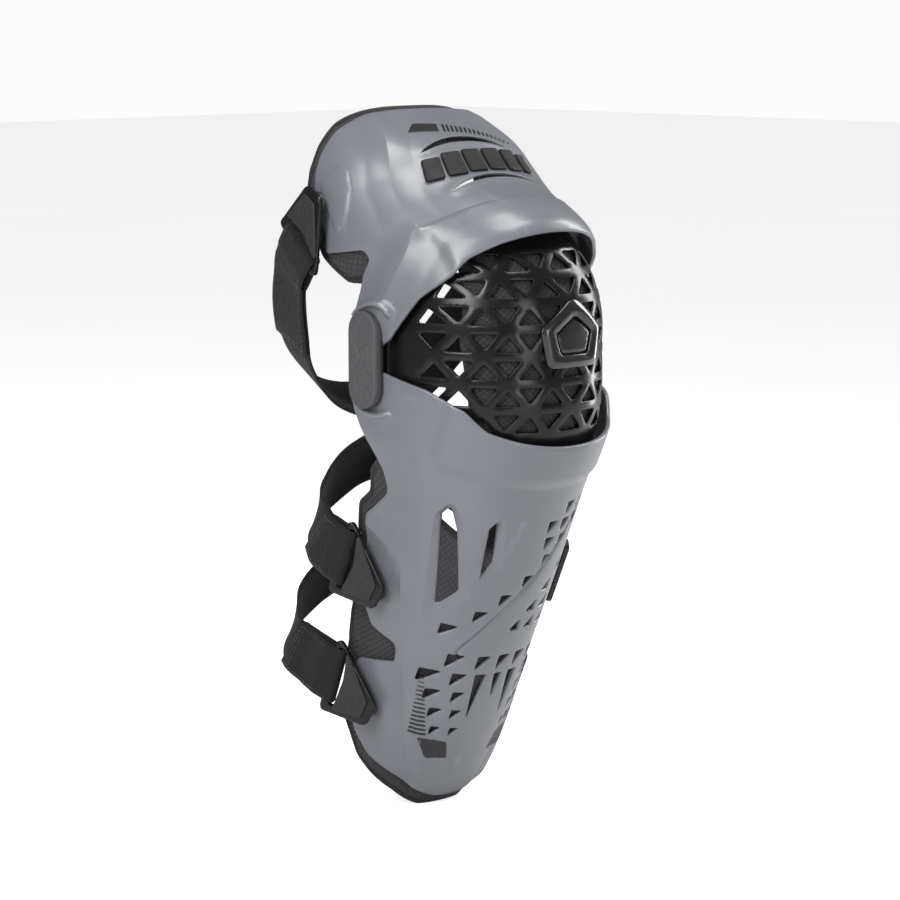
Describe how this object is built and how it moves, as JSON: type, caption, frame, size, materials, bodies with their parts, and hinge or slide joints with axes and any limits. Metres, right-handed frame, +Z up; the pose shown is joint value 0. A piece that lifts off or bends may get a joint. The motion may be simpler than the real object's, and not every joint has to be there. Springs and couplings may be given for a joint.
{
  "type": "hinged knee and shin guard",
  "caption": "Hinged knee and shin guard: two wrap-round plastic shells, a vented knee cup on double side pivots, padded liners and elastic hook-clip straps.",
  "frame": {"origin": "centre of the knee: midway between the left and right hinges and midway between each hinge's two pivots", "axes": "+Z up with the guard half bent as it is displayed, -Y forwards out of the kneecap, X across the knee; the strap clips are on -X, the outer side of the leg"},
  "size_m": [0.1922, 0.2154, 0.4657],
  "materials": {
    "grey_shell": "semi-gloss moulded grey, faint scuffs",
    "black_cup": "satin black moulded",
    "gloss_badge": "gloss black plate",
    "hinge_cover": "matt grey moulded",
    "steel": "blackened steel",
    "nylon": "black nylon",
    "liner_fabric": "charcoal knit, embossed grid",
    "foam_pad": "black brushed fabric over foam",
    "clip_plastic": "satin black moulded",
    "clip_inlay": "matt charcoal",
    "strap_webbing": "black loop-pile elastic"
  },
  "bodies": {
    "shin": {"shin_shell": "grey_shell", "shin_liner": "liner_fabric", "shin_pad": "foam_pad", "upper_calf_catch": "steel", "upper_calf_strap": "strap_webbing", "upper_calf_strap_anchor": "clip_plastic", "upper_calf_anchor_rivets": "steel", "lower_calf_catch": "steel", "lower_calf_strap": "strap_webbing", "lower_calf_strap_anchor": "clip_plastic", "lower_calf_anchor_rivets": "steel"},
    "knee": {"knee_cup": "black_cup", "knee_liner": "liner_fabric", "knee_emblem": "gloss_badge", "left_hinge_inner_link": "steel", "left_hinge_outer_link": "steel", "left_hinge_cover": "hinge_cover", "left_pivot_rivets": "steel", "left_pivot_washers": "nylon", "right_hinge_inner_link": "steel", "right_hinge_outer_link": "steel", "right_hinge_cover": "hinge_cover", "right_pivot_rivets": "steel", "right_pivot_washers": "nylon"},
    "thigh": {"thigh_shell": "grey_shell", "thigh_liner": "liner_fabric", "thigh_pad": "foam_pad", "thigh_badge": "gloss_badge", "thigh_catch": "steel", "thigh_strap": "strap_webbing", "thigh_strap_anchor": "clip_plastic", "thigh_anchor_rivets": "steel"},
    "thigh_clip": {"thigh_clip": "clip_plastic", "thigh_clip_face": "clip_inlay", "thigh_strap_loop": "strap_webbing"},
    "upper_calf_clip": {"upper_calf_clip": "clip_plastic", "upper_calf_clip_face": "clip_inlay", "upper_calf_strap_loop": "strap_webbing"},
    "lower_calf_clip": {"lower_calf_clip": "clip_plastic", "lower_calf_clip_face": "clip_inlay", "lower_calf_strap_loop": "strap_webbing"}
  },
  "joints": [
    {"name": "shin_pivot", "type": "hinge", "parent": "shin", "child": "knee", "pos_m": [0, 0, -0.0175], "axis": [-1, 0, 0], "range_deg": [-20, 26]},
    {"name": "thigh_pivot", "type": "hinge", "parent": "knee", "child": "thigh", "pos_m": [0, 0, 0.0175], "axis": [-1, 0, 0], "range_deg": [-20, 26], "deforming": ["thigh_strap"]},
    {"name": "thigh_clip_swivel", "type": "hinge", "parent": "thigh", "child": "thigh_clip", "pos_m": [-0.09127, 0.0428, 0.09901], "axis": [-0.9828, 0.1804, 0.0407], "range_deg": [-10, 10]},
    {"name": "upper_calf_clip_swivel", "type": "hinge", "parent": "shin", "child": "upper_calf_clip", "pos_m": [-0.06994, 0.01061, -0.15417], "axis": [-0.9986, -0.0492, -0.0179], "range_deg": [-10, 10]},
    {"name": "lower_calf_clip_swivel", "type": "hinge", "parent": "shin", "child": "lower_calf_clip", "pos_m": [-0.06349, 0.02624, -0.23568], "axis": [-0.9962, -0.0819, -0.0298], "range_deg": [-10, 10]}
  ]
}
